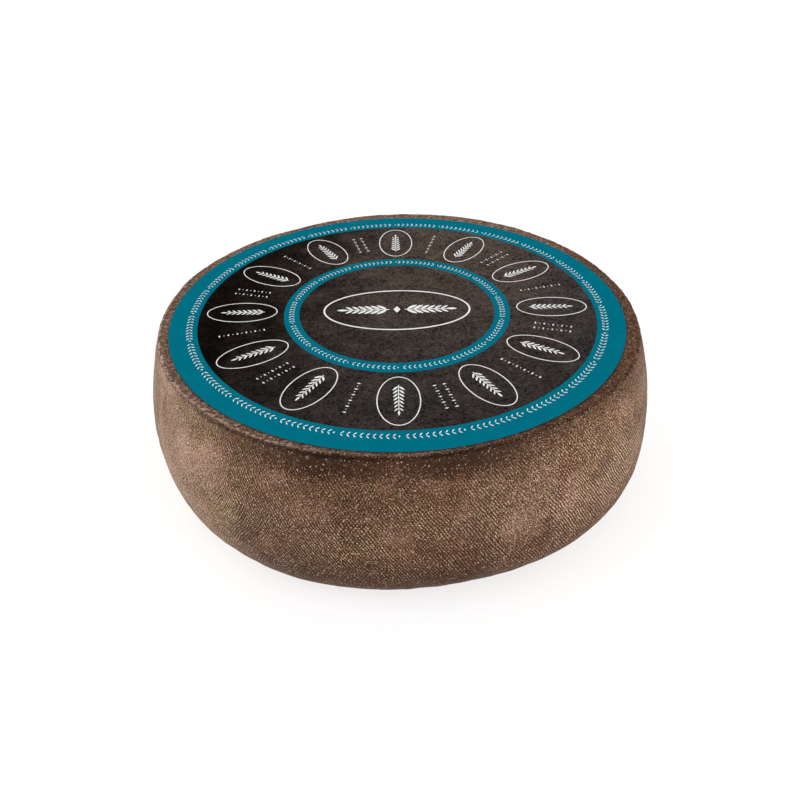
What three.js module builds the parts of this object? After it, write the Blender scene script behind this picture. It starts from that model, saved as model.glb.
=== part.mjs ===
// A pressed, cave-ripened cheese wheel with a round paper label on its top face.
//
// Units are millimetres and +Z is up. The origin is the centre of the flat underside,
// so the wheel stands on the plane z = 0. The wheel is one solid of revolution and the
// label is a thin disc that lies on its flat top.

import * as THREE from 'three';

// Driving dimensions of the wheel.
const wheelHeight = 80;
const widestRadius = 129.5;
const widestHeight = 38;
const rimRadius = 121.3;
const rimRounding = 3;
const footRadius = 99;

// The side bulges like a barrel above its widest line, and below it turns in along a
// superellipse, which keeps the side upright for longer than a circle's arc would.
const barrelPower = 1.7;
const heelPower = 3;

// Driving dimensions of the label, which is stuck on by hand a little off centre.
const labelRadius = 115;
const labelThickness = 0.3;
const labelShift = { x: -0.5, y: -1.4 };

// How finely the curved outlines are divided.
const stepsAround = 96;
const heelSteps = 9;
const barrelSteps = 7;
const rimSteps = 3;

const quarterTurn = Math.PI / 2;

function heelPoints() {
  const points = [];
  for (let step = 0; step <= heelSteps; step += 1) {
    const angle = quarterTurn * (step / heelSteps);
    const outward = Math.sin(angle) ** (2 / heelPower);
    const upward = 1 - Math.cos(angle) ** (2 / heelPower);
    const radius = footRadius + (widestRadius - footRadius) * outward;
    points.push(new THREE.Vector2(radius, widestHeight * upward));
  }
  return points;
}

function barrelPoints() {
  const rimStart = wheelHeight - rimRounding;
  const points = [];
  for (let step = 1; step <= barrelSteps; step += 1) {
    const share = step / barrelSteps;
    const radius = widestRadius - (widestRadius - rimRadius) * share ** barrelPower;
    points.push(new THREE.Vector2(radius, widestHeight + (rimStart - widestHeight) * share));
  }
  return points;
}

function rimPoints() {
  const points = [];
  for (let step = 1; step <= rimSteps; step += 1) {
    const angle = quarterTurn * (step / rimSteps);
    const radius = rimRadius - rimRounding * (1 - Math.cos(angle));
    points.push(new THREE.Vector2(radius, wheelHeight - rimRounding * (1 - Math.sin(angle))));
  }
  return points;
}

// A closed body turned about +Z from an outline that starts and ends on the axis.
function turnedBody(name, outline, material) {
  const geometry = new THREE.LatheGeometry(outline, stepsAround);
  geometry.rotateX(quarterTurn);
  const mesh = new THREE.Mesh(geometry, material);
  mesh.name = name;
  return mesh;
}

function makeWheel() {
  const outline = [
    new THREE.Vector2(0, 0),
    ...heelPoints(),
    ...barrelPoints(),
    ...rimPoints(),
    new THREE.Vector2(0, wheelHeight),
  ];
  const rind = new THREE.MeshStandardMaterial({ color: 0x6d5644, roughness: 0.75, metalness: 0 });
  return turnedBody('cheese_wheel', outline, rind);
}

function makeLabel() {
  const outline = [
    new THREE.Vector2(0, 0),
    new THREE.Vector2(labelRadius, 0),
    new THREE.Vector2(labelRadius, labelThickness),
    new THREE.Vector2(0, labelThickness),
  ];
  const paper = new THREE.MeshStandardMaterial({ color: 0x2f3a3d, roughness: 0.55, metalness: 0 });
  const label = turnedBody('top_label', outline, paper);
  label.position.set(labelShift.x, labelShift.y, wheelHeight);
  return label;
}

const group = new THREE.Group();
group.add(makeWheel(), makeLabel());

export default group;
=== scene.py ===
import math
import bmesh
import bpy
import numpy as np
from mathutils import Matrix, Vector, noise


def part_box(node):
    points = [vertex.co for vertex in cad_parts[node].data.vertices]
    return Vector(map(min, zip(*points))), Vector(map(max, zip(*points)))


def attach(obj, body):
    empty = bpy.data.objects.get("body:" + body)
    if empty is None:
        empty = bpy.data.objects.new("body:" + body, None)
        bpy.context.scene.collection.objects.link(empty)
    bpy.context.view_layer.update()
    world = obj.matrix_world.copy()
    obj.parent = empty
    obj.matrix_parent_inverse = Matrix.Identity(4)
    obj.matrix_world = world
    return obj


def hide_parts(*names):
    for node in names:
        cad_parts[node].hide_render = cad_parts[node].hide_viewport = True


# A cave-ripened cheese wheel with a printed paper label, standing in a plain pale studio.
# All lengths are metres, in the same frame as the CAD: +Z up, the wheel standing on z = 0.

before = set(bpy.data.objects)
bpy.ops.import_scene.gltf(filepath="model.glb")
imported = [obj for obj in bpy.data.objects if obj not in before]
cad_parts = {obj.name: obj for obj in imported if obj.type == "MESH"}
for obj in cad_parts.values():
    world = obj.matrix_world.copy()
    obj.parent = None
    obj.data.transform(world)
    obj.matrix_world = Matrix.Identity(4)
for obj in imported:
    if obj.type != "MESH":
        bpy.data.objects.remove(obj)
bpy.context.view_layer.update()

MM = 0.001
FULL_TURN = 2 * math.pi

# The wheel, worked out from its CAD box. The shares give the outline that the CAD has.
wheel_low, wheel_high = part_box("cheese_wheel")
WHEEL_HEIGHT = wheel_high.z - wheel_low.z
WIDEST_RADIUS = (wheel_high.x - wheel_low.x) / 2
WIDEST_HEIGHT = 0.475 * WHEEL_HEIGHT
RIM_RADIUS = 0.9367 * WIDEST_RADIUS
FOOT_RADIUS = 0.7645 * WIDEST_RADIUS
BARREL_POWER = 1.7
HEEL_POWER = 3.0
RIM_ROUNDING = 1.8 * MM

# The label, from its CAD box, and the radii where its printed bands change.
label_low, label_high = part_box("top_label")
LABEL_RADIUS = (label_high.x - label_low.x) / 2
LABEL_CENTRE = Vector(((label_low.x + label_high.x) / 2, (label_low.y + label_high.y) / 2))
LABEL_TOP = label_high.z
LABEL_UNDERSIDE = label_low.z
UNDER_LABEL_GAP = 0.05 * MM
THIN_RING = (0.435 * LABEL_RADIUS, 0.503 * LABEL_RADIUS)
WIDE_RING_START = 0.878 * LABEL_RADIUS

# The cloth that the wheel was pressed in left two families of slanting ribs in the rind.
RIB_PITCH = 1.3 * MM
RIB_SLANT = math.radians(33)
RIBS_AROUND = round(FULL_TURN * WIDEST_RADIUS * math.cos(RIB_SLANT) / RIB_PITCH)
RIB_RISE = RIB_PITCH / math.sin(RIB_SLANT)


def linear(red, green, blue):
    """A display colour, 0 to 255 a channel, as the linear colour that shaders work in."""
    shares = (red / 255, green / 255, blue / 255)
    return (*(s / 12.92 if s <= 0.04045 else ((s + 0.055) / 1.055) ** 2.4 for s in shares), 1.0)


def smooth_step(values, start, end):
    """0 up to start and 1 from end, with a smooth rise between them."""
    share = np.clip((values - start) / (end - start), 0, 1)
    return share * share * (3 - 2 * share)


def rough_noise(points, size, octaves, seed):
    """Fractal noise of about -1 to 1 at each point, with blotches about size wide."""
    shift = Vector((seed, 2.3 * seed, -1.7 * seed))
    return np.array([noise.fractal(Vector(point) / size + shift, 1.0, 2.0, octaves) for point in points])


# ------------------------------------------------------------ camera, lights and floor

# The camera stands this far from the middle of the label and looks a little below it.
CAMERA_DISTANCE = 3.685 * LABEL_RADIUS
CAMERA_ELEVATION = math.radians(29.64)
CAMERA_AIM = Vector((0.006 * LABEL_RADIUS, 0, -0.501 * LABEL_RADIUS))
CAMERA_ROLL = math.radians(-1.08)
CAMERA_LENS_MM = 36.84


def make_camera():
    camera = bpy.data.objects.new("camera", bpy.data.cameras.new("camera"))
    camera.data.lens = CAMERA_LENS_MM
    camera.data.sensor_width = 36
    camera.data.clip_start = 0.01
    label_middle = Vector((*LABEL_CENTRE, LABEL_TOP))
    outward = Vector((0, -math.cos(CAMERA_ELEVATION), math.sin(CAMERA_ELEVATION)))
    camera.location = label_middle + CAMERA_DISTANCE * outward
    look = (label_middle + CAMERA_AIM - camera.location).to_track_quat("-Z", "Y").to_matrix()
    camera.rotation_euler = (look @ Matrix.Rotation(CAMERA_ROLL, 3, "Z")).to_euler()
    bpy.context.scene.collection.objects.link(camera)
    bpy.context.scene.camera = camera


def make_light(name, direction, strength, softness_degrees):
    """A soft white light that falls evenly on the whole studio from one direction, with no shadow."""
    light = bpy.data.lights.new(name, "SUN")
    light.use_shadow = False
    light.energy = strength
    light.angle = math.radians(softness_degrees)
    holder = bpy.data.objects.new(name, light)
    holder.rotation_euler = Vector(direction).to_track_quat("Z", "Y").to_euler()
    bpy.context.scene.collection.objects.link(holder)


def make_world(strength):
    world = bpy.data.worlds.new("studio")
    world.use_nodes = True
    background = world.node_tree.nodes["Background"]
    background.inputs["Color"].default_value = (1, 1, 1, 1)
    background.inputs["Strength"].default_value = strength
    bpy.context.scene.world = world


def make_floor(half_size):
    mesh = bpy.data.meshes.new("studio_floor")
    signs = ((-1, -1), (1, -1), (1, 1), (-1, 1))
    mesh.from_pydata([(half_size * x, half_size * y, wheel_low.z) for x, y in signs], [], [(0, 1, 2, 3)])
    pattern = Pattern("pale_floor")
    pattern.set("Base Color", linear(240, 240, 240))
    pattern.set("Roughness", 0.9)
    pattern.set("Specular IOR Level", 0.0)
    mesh.materials.append(pattern.material)
    floor = bpy.data.objects.new("studio_floor", mesh)
    bpy.context.scene.collection.objects.link(floor)


# ------------------------------------------------------------ materials written as formulas


class Pattern:
    """A material whose shader nodes are wired by formulas."""

    def __init__(self, name):
        self.material = bpy.data.materials.new(name)
        self.material.use_nodes = True
        self.tree = self.material.node_tree
        self.shader = self.tree.nodes["Principled BSDF"]

    def node(self, kind, **settings):
        made = self.tree.nodes.new(kind)
        for name, value in settings.items():
            setattr(made, name, value)
        return made

    def feed(self, socket, value):
        if isinstance(value, bpy.types.NodeSocket):
            self.tree.links.new(value, socket)
        else:
            socket.default_value = value

    def set(self, name, value):
        """Gives one of the surface shader's own sockets a value or a pattern."""
        self.feed(self.shader.inputs[name], value)

    def math(self, operation, *values):
        made = self.node("ShaderNodeMath", operation=operation)
        for socket, value in zip(made.inputs, values):
            self.feed(socket, value)
        return made.outputs[0]

    def product(self, first, *others):
        """All the values multiplied together."""
        for value in others:
            first = self.math("MULTIPLY", first, value)
        return first

    def plus(self, total, *terms):
        """total, plus each term's value times its weight."""
        for value, weight in terms:
            total = self.math("MULTIPLY_ADD", value, weight, total)
        return total

    def tally(self, base, *terms):
        """base, plus each term's weight times how far its pattern is from one half."""
        return self.plus(base - sum(weight for _, weight in terms) / 2, *terms)

    def vector_math(self, operation, first, second, result="Vector"):
        made = self.node("ShaderNodeVectorMath", operation=operation)
        self.feed(made.inputs[0], first)
        self.feed(made.inputs[1], second)
        return made.outputs[result]

    def distance(self, first, second):
        """How far two points are from each other."""
        return self.vector_math("DISTANCE", first, second, result="Value")

    def place(self):
        """The point on the surface, in the CAD's frame."""
        return self.node("ShaderNodeTexCoord").outputs["Object"]

    def parts(self, vector):
        """The x, y and z of a vector."""
        made = self.node("ShaderNodeSeparateXYZ")
        self.feed(made.inputs[0], vector)
        return made.outputs

    def attribute(self, name):
        """The number that the mesh's points carry under a name."""
        return self.node("ShaderNodeAttribute", attribute_name=name).outputs["Fac"]

    def noise(self, size, detail=2.0, roughness=0.5, seed=0.0):
        """Noise of 0 to 1 with blotches about size wide."""
        made = self.node("ShaderNodeTexNoise")
        moved = self.vector_math("ADD", self.place(), (seed, 0.37 * seed, -0.61 * seed))
        self.feed(made.inputs["Vector"], moved)
        made.inputs["Scale"].default_value = 1 / size
        made.inputs["Detail"].default_value = detail
        made.inputs["Roughness"].default_value = roughness
        return made.outputs[0]

    def fade(self, value, start, end, low=0.0, high=1.0):
        """low up to start and high from end, with a smooth change between them."""
        made = self.node("ShaderNodeMapRange", interpolation_type="SMOOTHSTEP")
        for socket, given in zip(made.inputs, (value, start, end, low, high)):
            self.feed(socket, given)
        return made.outputs[0]

    def between(self, share, first, second):
        """The number first where share is 0 and second where it is 1."""
        made = self.node("ShaderNodeMix", data_type="FLOAT")
        self.feed(made.inputs[0], share)
        self.feed(made.inputs[2], first)
        self.feed(made.inputs[3], second)
        return made.outputs[0]

    def mix(self, share, first, second, blend="MIX"):
        """The colour first where share is 0 and second where it is 1."""
        made = self.node("ShaderNodeMix", data_type="RGBA", blend_type=blend)
        self.feed(made.inputs[0], share)
        self.feed(made.inputs[6], first)
        self.feed(made.inputs[7], second)
        return made.outputs[2]

    def tint(self, colour, *filters):
        """The colour seen through filters. Each is a share, 0 to 1, and the filter's colour."""
        for share, filter_colour in filters:
            colour = self.mix(share, colour, (*filter_colour, 1.0), "MULTIPLY")
        return colour

    def scale(self, colour, strength):
        """The colour made brighter or darker by a number."""
        made = self.node("ShaderNodeVectorMath", operation="SCALE")
        self.feed(made.inputs[0], colour)
        self.feed(made.inputs["Scale"], strength)
        return made.outputs[0]

    def ramp(self, value, stops):
        """The colour that belongs to value on a scale of stops, each a value and its colour."""
        made = self.node("ShaderNodeValToRGB")
        self.feed(made.inputs[0], value)
        points = made.color_ramp.elements
        while len(points) < len(stops):
            points.new(0.5)
        for point, (position, colour) in zip(points, stops):
            point.position = position
            point.color = colour
        return made.outputs[0]

    def bump(self, height, distance):
        """Tilts the surface by a height of 0 to 1 that stands for distance."""
        made = self.node("ShaderNodeBump")
        made.inputs["Distance"].default_value = distance
        self.feed(made.inputs["Height"], height)
        self.set("Normal", made.outputs["Normal"])


# ------------------------------------------------------------ meshes


def add_piece(name, points, faces, patterns):
    """Adds a closed mesh, with all its faces turned outward, to the scene."""
    mesh = bpy.data.meshes.new(name)
    mesh.from_pydata(points, [], faces)
    shape = bmesh.new()
    shape.from_mesh(mesh)
    bmesh.ops.recalc_face_normals(shape, faces=shape.faces)
    shape.to_mesh(mesh)
    shape.free()
    for pattern in patterns:
        mesh.materials.append(pattern.material)
    piece = bpy.data.objects.new(name, mesh)
    bpy.context.scene.collection.objects.link(piece)
    return piece


class TurnedMesh:
    """A closed mesh gathered ring by ring. A ring may have half the steps of its neighbour."""

    def __init__(self):
        self.points = []
        self.faces = []
        self.starts = []
        self.steps = []

    def ring(self, points):
        """Adds a ring of points and returns its number."""
        self.starts.append(len(self.points))
        self.steps.append(len(points))
        self.points.extend(map(tuple, points))
        return len(self.starts) - 1

    def join(self, first, second):
        """Adds the faces between two rings."""
        start, steps = self.starts[first], self.steps[first]
        inner, inner_steps = self.starts[second], self.steps[second]
        if inner_steps == steps:
            for step in range(steps):
                after = (step + 1) % steps
                self.faces.append((start + step, start + after, inner + after, inner + step))
            return
        for step in range(inner_steps):
            middle = start + 2 * step + 1
            right = start + (2 * step + 2) % steps
            near = inner + step
            far = inner + (step + 1) % inner_steps
            self.faces.append((middle - 1, middle, near))
            self.faces.append((middle, far, near))
            self.faces.append((middle, right, far))

    def close(self, ring, radii, centre, height):
        """Fills a flat ring with ever smaller rings, each with half the steps of the last."""
        for radius in radii:
            smaller = self.ring(circle(self.steps[ring] // 2, radius, centre, height))
            self.join(ring, smaller)
            ring = smaller
        self.faces.append(tuple(range(self.starts[ring], self.starts[ring] + self.steps[ring])))


def circle(steps, radius, centre, height):
    """Points evenly around a centre, all at one height."""
    angle = np.arange(steps) * FULL_TURN / steps
    x = centre[0] + radius * np.cos(angle)
    y = centre[1] + radius * np.sin(angle)
    return np.stack([x, y, np.full(steps, height)], axis=1)


# ------------------------------------------------------------ the rind

# Steps around the wheel, and the distance between its rings: less as far as the rim's zone.
RIND_STEPS = 960
SIDE_STEP = 1.9 * MM
RIM_STEP = 0.5 * MM
RIM_ZONE = 9 * MM
OUTLINE_POINTS = 200

# Under the label the top is flat. The rings that fill a disc are shares of its radius.
HIDDEN_TOP_RADIUS = 0.97 * LABEL_RADIUS
HIDDEN_TOP_HEIGHT = LABEL_UNDERSIDE - UNDER_LABEL_GAP
DISC_SHARES = (0.86, 0.72, 0.56, 0.4, 0.22, 0.1)

# Slow swings of the radius around the wheel: swings in a turn, size, and degrees of a peak.
SIDE_SWINGS = ((1, 0.3 * MM, 75), (2, 0.96 * MM, 42), (3, 1.13 * MM, -30), (4, 1.15 * MM, -28))
HEEL_SWINGS = ((1, 2.6 * MM, -82), (2, 1.51 * MM, -50), (3, 0.3 * MM, -97))

# Where stretches of the rim lie, in radians round the wheel from +x.
CREASED_STRETCH = -math.pi / 2 - 0.2
CRUMBLY_STRETCH = -0.35
NARROW_STRETCH = -0.8
WIDE_STRETCH = 0.1


def side_outline():
    """The side's outline from the foot's edge up over the rim to just under the label.

    Returns radius, height and how far down the rind each point is from the rim.
    """
    quarter = np.linspace(0, math.pi / 2, OUTLINE_POINTS)
    heel_radius = FOOT_RADIUS + (WIDEST_RADIUS - FOOT_RADIUS) * np.sin(quarter) ** (2 / HEEL_POWER)
    heel_height = WIDEST_HEIGHT * (1 - np.cos(quarter) ** (2 / HEEL_POWER))
    share = np.linspace(0, 1, OUTLINE_POINTS)[1:]
    barrel_radius = WIDEST_RADIUS - (WIDEST_RADIUS - RIM_RADIUS) * share ** BARREL_POWER
    barrel_height = WIDEST_HEIGHT + (WHEEL_HEIGHT - RIM_ROUNDING - WIDEST_HEIGHT) * share
    rim_radius = RIM_RADIUS - RIM_ROUNDING * (1 - np.cos(quarter[1:]))
    rim_height = WHEEL_HEIGHT - RIM_ROUNDING * (1 - np.sin(quarter[1:]))
    radius = np.concatenate([heel_radius, barrel_radius, rim_radius, [HIDDEN_TOP_RADIUS]])
    height = np.concatenate([heel_height, barrel_height, rim_height, [WHEEL_HEIGHT]])
    run = np.concatenate([[0], np.cumsum(np.hypot(np.diff(radius), np.diff(height)))])
    rim_run = run[-len(rim_radius) - 1]
    return radius, height, rim_run - run


def side_rings():
    """The side's rings, from the label to the foot.

    Gives each ring's radius, its height, how far down it is from the rim, and the sideways
    and upward parts of the direction that is out.
    """
    radius, height, down = (values[::-1] for values in side_outline())
    over_rim = np.arange(down[0], RIM_ZONE, RIM_STEP)
    places = np.concatenate([over_rim, np.arange(RIM_ZONE, down[-1], SIDE_STEP), down[-1:]])
    ring_radius = np.interp(places, down, radius)
    ring_height = np.interp(places, down, height)
    outward = -np.gradient(ring_height, places)
    upward = np.gradient(ring_radius, places)
    length = np.hypot(outward, upward)
    return zip(ring_radius, ring_height, places, outward / length, upward / length)


def swing(angle, swings):
    """How far a row of swings moves the radius at each angle."""
    return sum(size * np.cos(count * (angle - math.radians(peak))) for count, size, peak in swings)


def hump(values, middle, width):
    """1 at middle and next to nothing more than about width from it."""
    return np.exp(-(((values - middle) / width) ** 2))


def rim_marks(angle, down):
    """What the rim is like at each point of a ring.

    Returns the distance below the bare strip around the label, how creased the rind is
    under the strip (0 to 1), and how crumbly the strip is (0 to 1).
    """
    around = np.stack([np.cos(angle), np.sin(angle), np.zeros_like(angle)], axis=1)
    near_crease = np.cos(angle - CREASED_STRETCH)
    creased = 0.12 + 0.88 * smooth_step(near_crease, 0.68, 0.97)
    creased *= np.clip(0.85 + 0.5 * rough_noise(around, 0.3, 2, 4), 0.2, 1.0)
    crumbly = 0.1 + 0.9 * smooth_step(np.cos(angle - CRUMBLY_STRETCH), 0.4, 0.85)

    # The strip ends higher up over the crease and to the right of it, and lower at the far right.
    narrow = smooth_step(np.cos(angle - NARROW_STRETCH), 0.75, 0.95)
    narrow = np.maximum(narrow, smooth_step(near_crease, 0.45, 0.85))
    wide = smooth_step(np.cos(angle - WIDE_STRETCH), 0.82, 0.99)
    strip_end = (-0.8 - 1.7 * narrow + 1.2 * wide) * MM + 0.35 * MM * rough_noise(around, 0.12, 2, 5)
    return down - strip_end, creased, crumbly


def rind_relief(points, down, below_strip, creased, crumbly):
    """How far the rind stands out from its smooth outline at each point."""
    near_rim = 1 - smooth_step(down, 1 * MM, 6 * MM)
    swell = 0.45 * MM * rough_noise(points, 45 * MM, 2, 1)
    dents = 0.2 * MM * rough_noise(points, 8 * MM, 3, 2)
    crumbs = 0.11 * MM * (0.4 + near_rim * (0.6 + 1.2 * crumbly)) * rough_noise(points, 2.2 * MM, 2, 3)
    groove = -0.7 * MM * creased * hump(below_strip, 1.0 * MM, 0.8 * MM)
    lip = 0.3 * MM * creased * hump(below_strip, -0.6 * MM, 0.8 * MM)

    # The crumbly strip is chipped along its edge, and beside the label the top lies lower.
    chips = smooth_step(rough_noise(points, 3 * MM, 2, 6), 0.12, 0.5)
    chipped = -0.6 * MM * chips * crumbly * hump(below_strip, 0, 1.6 * MM)
    settled = -0.25 * MM * (1 - smooth_step(down, -5 * MM, -2.5 * MM))
    return swell + dents + crumbs + groove + lip + chipped + settled


def rind_ring(radius, height, down, outward, upward):
    """The points of one of the side's rings, and the rim's marks at each of them."""
    points = circle(RIND_STEPS, radius, (0, 0), height)
    angle = np.arange(RIND_STEPS) * FULL_TURN / RIND_STEPS
    marks = rim_marks(angle, down)
    relief = rind_relief(points, down, *marks)
    heel_share = min(1.3 * max(WIDEST_HEIGHT - height, 0) / WIDEST_HEIGHT, 1)
    side_share = 0.65 + 0.35 * smooth_step(down, 0, 15 * MM)
    swings = side_share * swing(angle, SIDE_SWINGS) + heel_share * swing(angle, HEEL_SWINGS)
    sideways = outward * relief + swings
    points[:, 0] += sideways * np.cos(angle)
    points[:, 1] += sideways * np.sin(angle)
    points[:, 2] += upward * relief
    on_flat_top = upward > 0.9
    if on_flat_top:
        # Next to the label and under it the rind meets the paper from below.
        from_label = np.hypot(points[:, 0] - LABEL_CENTRE.x, points[:, 1] - LABEL_CENTRE.y) - LABEL_RADIUS
        free = smooth_step(from_label, -1 * MM, 1 * MM)
        points[:, 2] = free * points[:, 2] + (1 - free) * HIDDEN_TOP_HEIGHT
    points[:, 2] = np.maximum(points[:, 2], wheel_low.z)
    return points, marks


def make_rind(pattern):
    """The wheel: its side ring by ring, then the disc under the label and the one it stands on."""
    shape = TurnedMesh()
    downs = []
    marks = []
    for radius, height, down, outward, upward in side_rings():
        points, ring_marks = rind_ring(radius, height, down, outward, upward)
        shape.ring(points)
        downs.append(down)
        marks.append(ring_marks)
    last = len(downs) - 1
    for ring in range(last):
        shape.join(ring, ring + 1)
    side_faces = len(shape.faces)
    shape.close(0, [HIDDEN_TOP_RADIUS * share for share in DISC_SHARES], (0, 0), HIDDEN_TOP_HEIGHT)
    top_faces = len(shape.faces)
    shape.close(last, [FOOT_RADIUS * share for share in DISC_SHARES], (0, 0), wheel_low.z)
    rind = add_piece("rind", shape.points, shape.faces, [pattern])
    rind.data.shade_smooth()

    below_strip, creased, crumbly = (np.concatenate(values) for values in zip(*marks))
    down_of_side = np.repeat(downs, RIND_STEPS)
    down_of_point = add_values(rind.data, "down", down_of_side, downs[-1])
    add_values(rind.data, "below_strip", below_strip, downs[-1])
    add_values(rind.data, "creased", creased, 0)
    add_values(rind.data, "crumbly", crumbly, 0)
    add_rind_maps(rind.data, down_of_point, downs, side_faces, top_faces)
    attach(rind, "root")
    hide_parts("cheese_wheel")


def add_values(mesh, name, values, rest):
    """Gives the mesh's first points their values, and all its other points the value rest."""
    filled = np.full(len(mesh.vertices), float(rest))
    filled[: len(values)] = values
    mesh.attributes.new(name, "FLOAT", "POINT").data.foreach_set("value", filled)
    return filled


# Where the rind lies in its own bake map: the side as three strips, the discs above them.
# A disc has the two coordinates of its middle and about its radius.
BAKE_STRIPS = 3
STRIPS_HEIGHT = 0.78
MAP_MARGIN = 0.004
UNDERSIDE_PLACE = (0.12, 0.89, 0.1)
TOP_PLACE = (0.35, 0.89, 0.08)


def add_rind_maps(mesh, down_of_point, downs, side_faces, top_faces):
    """Adds the map of the cloth's ribs and the map that the finish is baked into."""
    corners = np.zeros(len(mesh.loops), int)
    mesh.loops.foreach_get("vertex_index", corners)
    starts = np.zeros(len(mesh.polygons), int)
    totals = np.zeros(len(mesh.polygons), int)
    mesh.polygons.foreach_get("loop_start", starts)
    mesh.polygons.foreach_get("loop_total", totals)
    place = np.zeros(3 * len(mesh.vertices))
    mesh.vertices.foreach_get("co", place)
    x, y = place.reshape(-1, 3)[corners, :2].T
    face = np.repeat(np.arange(len(mesh.polygons)), totals)
    on_side = face < side_faces
    on_top = (face >= side_faces) & (face < top_faces)

    step = np.where(corners < len(downs) * RIND_STEPS, corners % RIND_STEPS, 0)
    highest = np.maximum.reduceat(step, starts)[face]
    crosses_seam = (highest == RIND_STEPS - 1) & (step == 0)
    turn = np.where(crosses_seam, RIND_STEPS, step) / RIND_STEPS
    down = down_of_point[corners]

    side_ribs = (RIBS_AROUND * turn + down / RIB_RISE, RIBS_AROUND * turn - down / RIB_RISE)
    along, across = x * math.cos(RIB_SLANT) / RIB_PITCH, y * math.sin(RIB_SLANT) / RIB_PITCH
    flat_ribs = (along + across, along - across)
    write_map(mesh, "Cloth", np.where(on_side, side_ribs, flat_ribs))

    lowest = np.minimum.reduceat(turn, starts)[face]
    strip = np.minimum(np.floor(lowest * BAKE_STRIPS + 1e-6), BAKE_STRIPS - 1)
    down_share = (down - downs[0]) / (downs[-1] - downs[0])
    inside = 1 - 2 * MAP_MARGIN
    strip_map = (
        MAP_MARGIN + inside * (turn * BAKE_STRIPS - strip),
        STRIPS_HEIGHT / BAKE_STRIPS * (strip + MAP_MARGIN + inside * down_share),
    )
    disc_places = np.where(on_top, np.array(TOP_PLACE)[:, None], np.array(UNDERSIDE_PLACE)[:, None])
    disc_x, disc_y, disc_size = disc_places
    reach = disc_size / max(HIDDEN_TOP_RADIUS, FOOT_RADIUS)
    disc_map = (disc_x + x * reach, disc_y + y * reach)
    write_map(mesh, "OFBake", np.where(on_side, strip_map, disc_map))


def write_map(mesh, name, columns):
    layer = mesh.uv_layers.new(name=name)
    layer.data.foreach_set("uv", np.stack(columns, axis=1).astype(np.float32).ravel())


# The rind's tones from its darkest pits to its palest flecks.
RIND_TONES = (
    (0.0, linear(40, 20, 8)),
    (0.25, linear(66, 42, 23)),
    (0.5, linear(99, 73, 52)),
    (0.75, linear(139, 113, 93)),
    (1.0, linear(190, 167, 149)),
)
FLECK_COLOUR = linear(190, 166, 148)
# The colour of the painted highlight on the lip over the crease.
LIP_HIGHLIGHT_COLOUR = linear(178, 150, 142)

# The middle tone of the side and of the bare strip, and how much lower the dark places are; the band's
# darkness is painted shade.
SIDE_TONE = 0.32
STRIP_TONE = 0.44
HEEL_DARKNESS = 0.33
BAND_PAINTED_SHADE = 0.4
SHOULDER_DARKNESS = 0.17
CRUMBLY_DARKNESS = 0.24

# Painted light and shade on the side's tone along x, lighter to the far left and to the right where the
# lamps fall: where each starts, where it is full, and its size.
PAINTED_LIGHT_ALONG_X = (
    (-25 * MM, -60 * MM, -0.04),
    (-50 * MM, -105 * MM, 0.22),
    (15 * MM, 75 * MM, 0.06),
)

# Where the cloth's marks are rubbed off: degrees round the wheel, height and size.
WORN_SPOTS = (
    (-62, 58 * MM, 11 * MM),
    (-66, 40 * MM, 12 * MM),
    (-78, 53 * MM, 7 * MM),
    (-130, 58 * MM, 12 * MM),
)


def side_point(degrees, height):
    """A point on the cylinder round the wheel's widest outline."""
    angle = math.radians(degrees)
    return (WIDEST_RADIUS * math.cos(angle), WIDEST_RADIUS * math.sin(angle), height)


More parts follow.
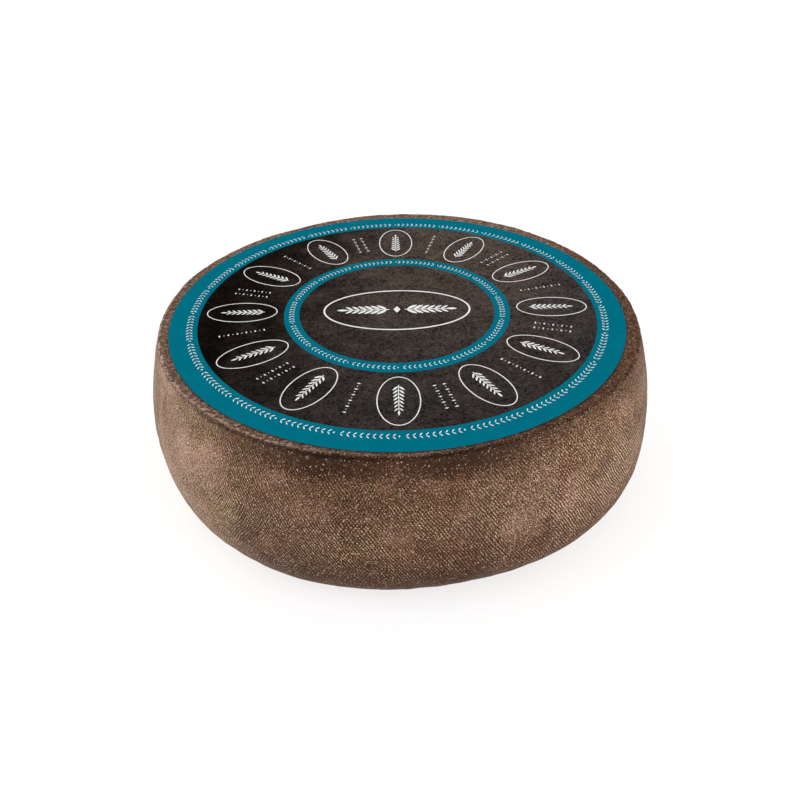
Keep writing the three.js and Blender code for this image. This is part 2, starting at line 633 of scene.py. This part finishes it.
class RindPattern(Pattern):
    """Brown, dry, mottled rind with the marks of the cloth and pale flecks."""

    def __init__(self):
        super().__init__("cheese_rind")
        self.point = self.place()
        self.x, _, self.z = self.parts(self.point)
        self.creased = self.attribute("creased")
        self.crumbly = self.attribute("crumbly")
        self.grain = self.noise(0.5 * MM, 1.5, 0.6, seed=3.7)
        self.crumbs = self.noise(2.2 * MM, 3.0, 0.65, seed=7.9)
        self.patches = self.noise(15 * MM, 4.0, 0.6, seed=2.1)

        # The borders that run round the rim wander up and down with the crumbs.
        self.wander = self.fade(self.crumbs, 0.3, 0.7, -0.8 * MM, 0.8 * MM)
        self.below_strip = self.math("ADD", self.attribute("below_strip"), self.wander)
        self.below_rim = self.plus(self.attribute("down"), (self.wander, 2.0), (self.crumbly, -3 * MM))

        self.ribs, self.knot_chance = self.cloth_ribs()
        self.sharp = self.sharpness()
        self.cloth = self.cloth_strength()
        self.set("Base Color", self.finished_colour())
        self.set("Roughness", self.fade(self.patches, 0.3, 0.7, 0.6, 0.78))
        self.set("Specular IOR Level", 0.1)
        self.set("Sheen Weight", 0.06)
        self.set("Sheen Roughness", 0.45)
        self.set("Sheen Tint", (1.0, 0.82, 0.7, 1.0))
        raised_ribs = self.product(self.ribs, self.cloth, 0.4)
        self.bump(self.plus(raised_ribs, (self.grain, 0.6)), 0.3 * MM)

    def rib_wave(self, cycles):
        """A wave of 0 to 1 that peaks where cycles is a whole number."""
        return self.plus(0.5, (self.math("COSINE", self.product(cycles, FULL_TURN)), 0.5))

    def cloth_ribs(self):
        """The cloth's imprint: its height of 0 to 1, and a random number for each of its knots."""
        first, second, _ = self.parts(self.node("ShaderNodeUVMap", uv_map="Cloth").outputs[0])

        # The ribs bend, sway and waver, all as shares of their distance apart.
        bend = self.fade(self.noise(18 * MM, 2.0, seed=0.11), 0.2, 0.8, -1.0, 1.0)
        sway = self.fade(self.noise(14 * MM, 2.0, seed=0.23), 0.2, 0.8, -0.5, 0.5)
        jitter = self.fade(self.noise(2.4 * MM, 2.0, seed=0.31), 0.2, 0.8, -0.13, 0.13)
        first = self.math("ADD", self.math("ADD", first, bend), jitter)
        second = self.math("ADD", self.math("ADD", second, sway), jitter)
        ridge_a = self.rib_wave(first)
        ridge_b = self.rib_wave(second)
        lines_a = self.product(ridge_a, self.fade(ridge_b, 0.0, 1.0, 0.5, 1.0))
        lines_b = self.product(ridge_b, self.fade(ridge_a, 0.0, 1.0, 0.6, 1.0))
        knots = self.product(ridge_a, ridge_b)

        # One family of ribs shows most, in some patches only knots do, and the other family
        # shows most at the far left.
        zone = self.noise(22 * MM, 1.5, seed=0.47)
        height = self.between(self.fade(zone, 0.54, 0.62), lines_b, knots)
        leftward = self.plus(self.x, (zone, 80 * MM))
        height = self.between(self.fade(leftward, -70 * MM, -90 * MM), height, lines_a)

        cell = self.node("ShaderNodeCombineXYZ")
        self.feed(cell.inputs[0], self.math("ROUND", first))
        self.feed(cell.inputs[1], self.math("ROUND", second))
        chance = self.node("ShaderNodeTexWhiteNoise", noise_dimensions="2D")
        self.feed(chance.inputs["Vector"], cell.outputs[0])
        return height, chance.outputs["Value"]

    def sharpness(self):
        """1 where the cloth's marks are whole, and less where they are worn."""
        sharp = self.fade(self.noise(20 * MM, 2.0, seed=6.1), 0.34, 0.56, 0.45, 1.0)
        for degrees, height, size in WORN_SPOTS:
            away = self.plus(self.distance(self.point, side_point(degrees, height)), (self.wander, 2.5))
            sharp = self.product(sharp, self.fade(away, 0.5 * size, 1.4 * size, 0.4, 1.0))
        return sharp

    def cloth_strength(self):
        """How strong the cloth's marks are: they begin a little way under the rim."""
        under_rim = self.fade(self.below_rim, 1.0 * MM, 6.5 * MM)
        lower_down = self.fade(self.z, 64 * MM, 46 * MM, 0.65, 1.0)
        further_left = self.fade(self.x, -30 * MM, -60 * MM, 1.0, 1.3)
        return self.product(self.sharp, under_rim, lower_down, further_left)

    def side_tone(self):
        """The side's place on the scale of tones."""
        uneven_ribs = self.product(self.ribs, self.fade(self.knot_chance, 0.0, 1.0, 0.85, 1.15))
        marks = self.product(self.plus(-0.27, (uneven_ribs, 0.68)), self.cloth)
        fine = self.math("ADD", self.tally(0.0, (self.grain, 2.1)), marks)
        broad = self.noise(40 * MM, 3.0, 0.55, seed=1.3)
        tone = self.tally(SIDE_TONE, (broad, 0.2), (self.patches, 0.3))
        # The fine marks get more contrast on the right, painted to stand for the light that catches them
        # there.
        tone = self.plus(tone, (fine, self.fade(self.x, 20 * MM, 80 * MM, 1.0, 1.4)))

        # Worn patches are paler.
        tone = self.math("ADD", tone, self.fade(self.sharp, 0.8, 0.4, 0.0, 0.11))
        # Painted light and shade: the side is made lighter or darker along x where the lamps fall on it.
        for start, full, change in PAINTED_LIGHT_ALONG_X:
            tone = self.math("ADD", tone, self.fade(self.x, start, full, 0.0, change))
        return self.plus(tone, *self.dark_places())

    def dark_places(self):
        """The heel, the band under the crease, which is painted shade, and the crumbly strip's shoulder,
        with weights.
        """
        heel = self.product(
            self.fade(self.z, 40 * MM, 8 * MM),
            self.fade(self.x, -90 * MM, -40 * MM),
            self.fade(self.z, 0.2 * MM, 4 * MM),
        )
        # Painted shade: the band under the crease is painted darker at the front.
        band = self.product(
            self.fade(self.below_rim, 12 * MM, 4 * MM),
            self.creased,
            self.fade(self.x, -85 * MM, -35 * MM),
        )
        shoulder = self.product(self.fade(self.below_strip, 11 * MM, 1 * MM), self.crumbly)
        return (heel, -HEEL_DARKNESS), (band, -BAND_PAINTED_SHADE), (shoulder, -SHOULDER_DARKNESS)

    def side_colour(self):
        """The side: its tones, with patches a little greener, pinker, olive and rusty."""
        hue = self.noise(7 * MM, 2.0, seed=9.1)
        olive = self.noise(26 * MM, 3.0, 0.5, seed=5.3)
        rusty = self.noise(21 * MM, 3.0, 0.6, seed=4.9)
        return self.tint(
            self.ramp(self.side_tone(), RIND_TONES),
            (self.fade(hue, 0.5, 0.64), (0.98, 1.0, 0.95)),
            (self.fade(hue, 0.5, 0.36), (1.03, 0.985, 1.01)),
            (self.fade(self.x, 40 * MM, 90 * MM), (1.04, 0.99, 0.92)),
            (self.fade(olive, 0.56, 0.7), (0.97, 1.01, 0.9)),
            (self.fade(rusty, 0.5, 0.68), (0.95, 0.87, 0.8)),
            (self.fade(self.sharp, 0.8, 0.5), (1.03, 1.0, 1.08)),
        )

    def strip_colour(self):
        """The bare strip around the label: cooler than the side, and warm or mossy where crumbly."""
        tone = self.tally(STRIP_TONE, (self.grain, 2.0), (self.crumbs, 1.5))
        tone = self.plus(tone, (self.crumbly, -CRUMBLY_DARKNESS))
        mossy = self.product(self.crumbly, self.fade(self.crumbs, 0.5, 0.6))
        return self.tint(
            self.ramp(tone, RIND_TONES),
            (1.0, (0.93, 0.94, 1.06)),
            (self.crumbly, (1.18, 0.88, 0.64)),
            (mossy, (0.9, 1.04, 0.8)),
        )

    def along_rim(self, start, full, fading, end):
        """1 from full to fading and 0 outside start and end, all in metres below the strip."""
        return self.product(
            self.fade(self.below_strip, start, full),
            self.fade(self.below_strip, end, fading),
        )

    def finished_colour(self):
        """The side and the bare strip, with flecks, painted shade along the rim and the label, and a
        painted highlight on the lip.
        """
        strip = self.fade(self.below_strip, 0.6 * MM, -0.4 * MM)
        colour = self.mix(strip, self.side_colour(), self.strip_colour())
        flecks = self.fade(self.noise(0.75 * MM, 1.0, 0.5, seed=8.3), 0.65, 0.74, 0.0, 0.7)
        colour = self.mix(flecks, colour, FLECK_COLOUR)

        # Painted shade: the crease is painted dark, and so are the gaps in the crumbly strip's ragged
        # edge.
        painted_crease_shade = self.product(self.along_rim(-0.3 * MM, 0.5 * MM, 1.0 * MM, 3.0 * MM), self.creased)
        painted_gap_shade = self.product(
            self.along_rim(-1.0 * MM, -0.2 * MM, 0.5 * MM, 1.5 * MM),
            self.fade(self.crumbs, 0.54, 0.42),
            self.crumbly,
        )
        colour = self.tint(colour, (painted_crease_shade, (0.3, 0.25, 0.26)), (painted_gap_shade, (0.4, 0.33, 0.3)))

        # Painted highlight: the lip over the crease is painted pale to the left of the front, where the
        # light catches it.
        painted_lip_highlight = self.product(
            self.along_rim(-1.8 * MM, -0.9 * MM, -0.5 * MM, 0.3 * MM),
            self.fade(self.x, -20 * MM, -55 * MM),
            self.fade(self.crumbs, 0.42, 0.58, 0.0, 0.6),
        )
        colour = self.mix(painted_lip_highlight, colour, LIP_HIGHLIGHT_COLOUR)

        # Painted shadow: a dark line on the rind along the label's edge.
        from_middle = self.distance(self.point, (*LABEL_CENTRE, LABEL_UNDERSIDE))
        painted_label_shadow = self.product(
            self.fade(from_middle, LABEL_RADIUS + 1.1 * MM, LABEL_RADIUS + 0.2 * MM),
            self.fade(self.z, LABEL_UNDERSIDE - 5 * MM, LABEL_UNDERSIDE - 3 * MM),
        )
        return self.tint(colour, (painted_label_shadow, (0.5, 0.52, 0.56)))


# ------------------------------------------------------------ the label

LABEL_STEPS = 384
PAPER_BEVEL = 0.08 * MM
INK_THICKNESS = 0.04 * MM

# The numbers of the label's materials, in the order that its mesh holds them.
FIELD, TEAL, PAPER = range(3)

# Degrees: where the label's front is, and how far leaves slant from their sprig or garland.
FRONT = -90
SPRIG_SPREAD = 38
GARLAND_SPREAD = 48


def make_label(field, teal, paper):
    """The round paper, with a ring of faces for each of its printed bands."""
    shape = TurnedMesh()
    # From the underside's edge up and in: radius, height, and the material as far as the next.
    outline = [
        (LABEL_RADIUS - PAPER_BEVEL, LABEL_UNDERSIDE, PAPER),
        (LABEL_RADIUS, LABEL_UNDERSIDE + PAPER_BEVEL, PAPER),
        (LABEL_RADIUS, LABEL_TOP - PAPER_BEVEL, PAPER),
        (LABEL_RADIUS - PAPER_BEVEL, LABEL_TOP, TEAL),
        (WIDE_RING_START, LABEL_TOP, FIELD),
        (THIN_RING[1], LABEL_TOP, TEAL),
        (THIN_RING[0], LABEL_TOP, FIELD),
    ]
    inks = []
    for radius, height, _ in outline:
        ring = shape.ring(circle(LABEL_STEPS, radius, LABEL_CENTRE, height))
        if ring:
            shape.join(ring - 1, ring)
            inks += [outline[ring - 1][2]] * LABEL_STEPS
    shape.close(ring, [THIN_RING[0] * share for share in DISC_SHARES[::2]], LABEL_CENTRE, LABEL_TOP)
    inks += [FIELD] * (len(shape.faces) - len(inks))
    shape.close(0, [LABEL_RADIUS * share for share in DISC_SHARES[::2]], LABEL_CENTRE, LABEL_UNDERSIDE)
    inks += [PAPER] * (len(shape.faces) - len(inks))
    label = add_piece("label", shape.points, shape.faces, [field, teal, paper])
    label.data.polygons.foreach_set("material_index", inks)
    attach(label, "root")
    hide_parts("top_label")


def field_pattern():
    """The label's dark printed ground, speckled like slate, with painted light: a painted reflection that
    makes it paler from the left towards the right, and painted shade that makes it darker to the left,
    the front and the far right.
    """
    pattern = Pattern("dark_print")
    x, y, _ = pattern.parts(pattern.place())
    cloud = pattern.noise(14 * MM, 4.0, 0.6, seed=0.7)
    drift = pattern.fade(cloud, 0.2, 0.8, -14 * MM, 14 * MM)
    across = pattern.math("ADD", pattern.plus(x, (y, -0.18)), drift)
    # Painted reflection: the ground is painted paler from the left towards the right.
    light = pattern.fade(across, -0.8 * LABEL_RADIUS, 0.1 * LABEL_RADIUS)
    # Painted shade towards the front and at the far right.
    front = pattern.fade(pattern.math("ADD", y, drift), 0.6 * LABEL_RADIUS, -0.85 * LABEL_RADIUS)
    right = pattern.fade(x, 0.5 * LABEL_RADIUS, 0.9 * LABEL_RADIUS)
    colour = pattern.mix(light, linear(21, 16, 13), linear(68, 59, 53))
    colour = pattern.tint(colour, (front, (0.46, 0.5, 0.56)), (right, (0.74, 0.8, 0.96)))
    fleck = pattern.noise(1.1 * MM, 3.0, 0.7, seed=1.9)
    blotch = pattern.noise(3.5 * MM, 3.0, seed=5.5)
    speckle = pattern.tally(1.0, (fleck, 4.2), (cloud, 1.0), (blotch, 1.2))
    pattern.set("Base Color", pattern.scale(colour, pattern.math("MAXIMUM", speckle, 0.15)))
    pattern.set("Roughness", pattern.fade(fleck, 0.3, 0.7, 0.5, 0.65))
    pattern.set("Specular IOR Level", 0.0)
    pattern.bump(fleck, 0.02 * MM)
    return pattern


def ink_pattern(name, deep, pale):
    """A plain printed colour with the slight unevenness of ink on paper."""
    pattern = Pattern(name)
    cloud = pattern.noise(6 * MM, 3.0, seed=2.9)
    pattern.set("Base Color", pattern.mix(pattern.fade(cloud, 0.3, 0.7), deep, pale))
    pattern.set("Roughness", pattern.fade(cloud, 0.3, 0.7, 0.5, 0.6))
    pattern.set("Specular IOR Level", 0.0)
    pattern.bump(pattern.noise(0.5 * MM, 2.0, seed=3.1), 0.01 * MM)
    return pattern


# The white print is made of closed shapes in the label's plane. A point is x + yj, with
# its middle at the label's middle, so turning a shape is multiplying it by a direction.


def heading(degrees):
    """The direction at an angle."""
    return complex(math.cos(math.radians(degrees)), math.sin(math.radians(degrees)))


def oval(half_length, half_width, steps=72):
    """An oval around 0 that is long along x."""
    angle = np.arange(steps) * FULL_TURN / steps
    return half_length * np.cos(angle) + 1j * half_width * np.sin(angle)


def leaf(length, width, steps=6):
    """A pointed leaf that grows from 0 along x."""
    share = np.linspace(0, 1, steps + 1)
    side = 0.5 * width * np.sin(math.pi * share) ** 0.8
    return np.concatenate([share * length + 1j * side, (share * length - 1j * side)[-2:0:-1]])


def diamond(length, width):
    """A diamond around 0 with its length along x."""
    return np.array([length / 2, 0.5j * width, -length / 2, -0.5j * width])


class Print:
    """Thin raised ink, gathered shape by shape into one mesh."""

    def __init__(self):
        self.points = []
        self.faces = []

    def level(self, outline, height):
        """Adds an outline's points at one height and returns their numbers."""
        start = len(self.points)
        for point in outline:
            self.points.append((LABEL_CENTRE.x + point.real, LABEL_CENTRE.y + point.imag, height))
        return list(range(start, start + len(outline)))

    def wall(self, low, high):
        """Adds the faces between two levels."""
        for step in range(len(low)):
            after = (step + 1) % len(low)
            self.faces.append((low[step], low[after], high[after], high[step]))

    def fill(self, outline):
        """A solid shape with this outline."""
        low = self.level(outline, LABEL_TOP)
        high = self.level(outline, LABEL_TOP + INK_THICKNESS)
        self.wall(low, high)
        self.faces.append(tuple(high))
        self.faces.append(tuple(low[::-1]))

    def band(self, outer, inner):
        """The band between two outlines with as many points."""
        outer_low = self.level(outer, LABEL_TOP)
        outer_high = self.level(outer, LABEL_TOP + INK_THICKNESS)
        inner_low = self.level(inner, LABEL_TOP)
        inner_high = self.level(inner, LABEL_TOP + INK_THICKNESS)
        self.wall(outer_low, outer_high)
        self.wall(outer_high, inner_high)
        self.wall(inner_high, inner_low)
        self.wall(inner_low, outer_low)

    def oval_line(self, middle, direction, half_length, half_width, line):
        """An oval drawn with a line of this width, long along direction."""
        outer = oval(half_length, half_width)
        inner = oval(half_length - line, half_width - line)
        self.band(middle + direction * outer, middle + direction * inner)

    def sprig(self, start, direction, length, pairs, leaf_length, leaf_width):
        """A stem with pairs of leaves that get smaller, from start along direction."""
        stem = 0.18 * leaf_width
        stem_line = np.array([-1j * stem, length - 1j * stem, length + 1j * stem, 1j * stem])
        self.fill(start + direction * stem_line)
        for pair in range(pairs):
            reach = length * (pair + 0.35) / pairs
            shrink = 1 - 0.35 * pair / pairs
            for side in (-1, 1):
                blade = leaf(leaf_length * shrink, leaf_width * shrink) * heading(SPRIG_SPREAD * side)
                self.fill(start + direction * (reach + 1.2j * stem * side + blade))
        self.fill(start + direction * (length + leaf(0.9 * leaf_length, leaf_width)))


# The ovals stand on a circle between the two teal rings, and rows of marks between them.
OVALS = 12
OVAL_CIRCLE = 0.6915 * LABEL_RADIUS
OVAL_HALF = (0.1575 * LABEL_RADIUS, 0.085 * LABEL_RADIUS)
OVAL_LINE = 0.5 * MM
MIDDLE_OVAL_HALF = (0.329 * LABEL_RADIUS, 0.178 * LABEL_RADIUS)
MIDDLE_LINE = 0.95 * MM
MIDDLE_DIAMOND = (3.6 * MM, 6.5 * MM)

# A sprig's length, its pairs of leaves, and a leaf's length and width.
OVAL_SPRIG = (19 * MM, 7, 4.0 * MM, 1.05 * MM)
MIDDLE_SPRIG = (21 * MM, 6, 6.6 * MM, 1.9 * MM)
OVAL_SPRIG_START = -11.5 * MM
MIDDLE_SPRIG_START = 4.0 * MM

# Between the ovals there are in turn two short rows of marks and one long row.
ROW_KINDS = ((9, (-2.3 * MM, 2.3 * MM)), (11, (0,)))
ROW_PITCH = 2.2 * MM
LONG_MARK = (2.0 * MM, 0.9 * MM)
SMALL_MARK = (0.65 * MM, 0.65 * MM)

# The garlands on the two teal rings: radius, length of a leaf, and the gap between pairs.
GARLANDS = ((0.912 * LABEL_RADIUS, 2.1 * MM, 2.8 * MM), (0.469 * LABEL_RADIUS, 1.8 * MM, 2.4 * MM))
GARLAND_PAIRS = 9


def print_ovals(ink):
    """The ovals around the label, each with one sprig that points outward."""
    for number in range(OVALS):
        out = heading(FRONT + number * 360 / OVALS)
        middle = OVAL_CIRCLE * out
        ink.oval_line(middle, out, *OVAL_HALF, OVAL_LINE)
        ink.sprig(middle + OVAL_SPRIG_START * out, out, *OVAL_SPRIG)


def print_rows(ink):
    """Rows of diamonds, long and small in turn, that run outward between the ovals."""
    for number in range(OVALS):
        out = heading(FRONT + (number + 0.5) * 360 / OVALS)
        marks, offsets = ROW_KINDS[number % 2]
        for across in offsets:
            for mark in range(marks):
                along = OVAL_CIRCLE + (mark - (marks - 1) / 2) * ROW_PITCH
                shape = diamond(*(LONG_MARK if mark % 2 == 0 else SMALL_MARK))
                ink.fill(out * (along + 1j * across + 1j * shape))


def print_garland(ink, radius, leaf_length, gap):
    """A ring of slanting leaves in pairs, with a small diamond before each group of pairs."""
    places = GARLAND_PAIRS + 1
    groups = round(FULL_TURN * radius / (gap * places))
    for group in range(groups):
        for place in range(places):
            out = heading(FRONT + 360 * (group + place / places) / groups)
            if place == 0:
                ink.fill(out * (radius + diamond(0.7 * leaf_length, 0.35 * leaf_length)))
                continue
            for side in (-1, 1):
                blade = leaf(leaf_length, 0.25 * leaf_length) * heading(90 - GARLAND_SPREAD * side)
                ink.fill(out * (radius + 0.06 * side * leaf_length + blade))


def print_middle(ink):
    """The large oval in the middle, with a diamond between two sprigs."""
    ink.oval_line(0, 1, *MIDDLE_OVAL_HALF, MIDDLE_LINE)
    ink.fill(diamond(*MIDDLE_DIAMOND))
    for side in (-1, 1):
        ink.sprig(MIDDLE_SPRIG_START * side, side, *MIDDLE_SPRIG)


def make_print(white):
    ink = Print()
    print_middle(ink)
    print_ovals(ink)
    print_rows(ink)
    for radius, leaf_length, gap in GARLANDS:
        print_garland(ink, radius, leaf_length, gap)
    piece = add_piece("label_print", ink.points, ink.faces, [white])
    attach(piece, "root")


# ------------------------------------------------------------ the scene

# The lights: name, the direction they come from, strength, and degrees of softness.
LIGHTS = (
    ("left_light", (-0.96, -0.05, 0.29), 4.0, 50),
    ("right_light", (0.74, -0.6, 0.29), 3.6, 50),
    ("back_light", (0.1, 0.7, 0.7), 0.8, 60),
)
WORLD_STRENGTH = 0.35
FLOOR_HALF_SIZE = 6.0

bpy.context.scene.view_settings.view_transform = "Standard"
make_camera()
make_world(WORLD_STRENGTH)
for light in LIGHTS:
    make_light(*light)
make_floor(FLOOR_HALF_SIZE)

make_rind(RindPattern())
teal_ink = ink_pattern("teal_print", linear(1, 97, 115), linear(2, 100, 118))
white_ink = ink_pattern("white_print", linear(208, 208, 205), linear(222, 222, 218))
bare_paper = ink_pattern("label_edge", linear(30, 26, 24), linear(44, 38, 34))
make_label(field_pattern(), teal_ink, bare_paper)
make_print(white_ink)
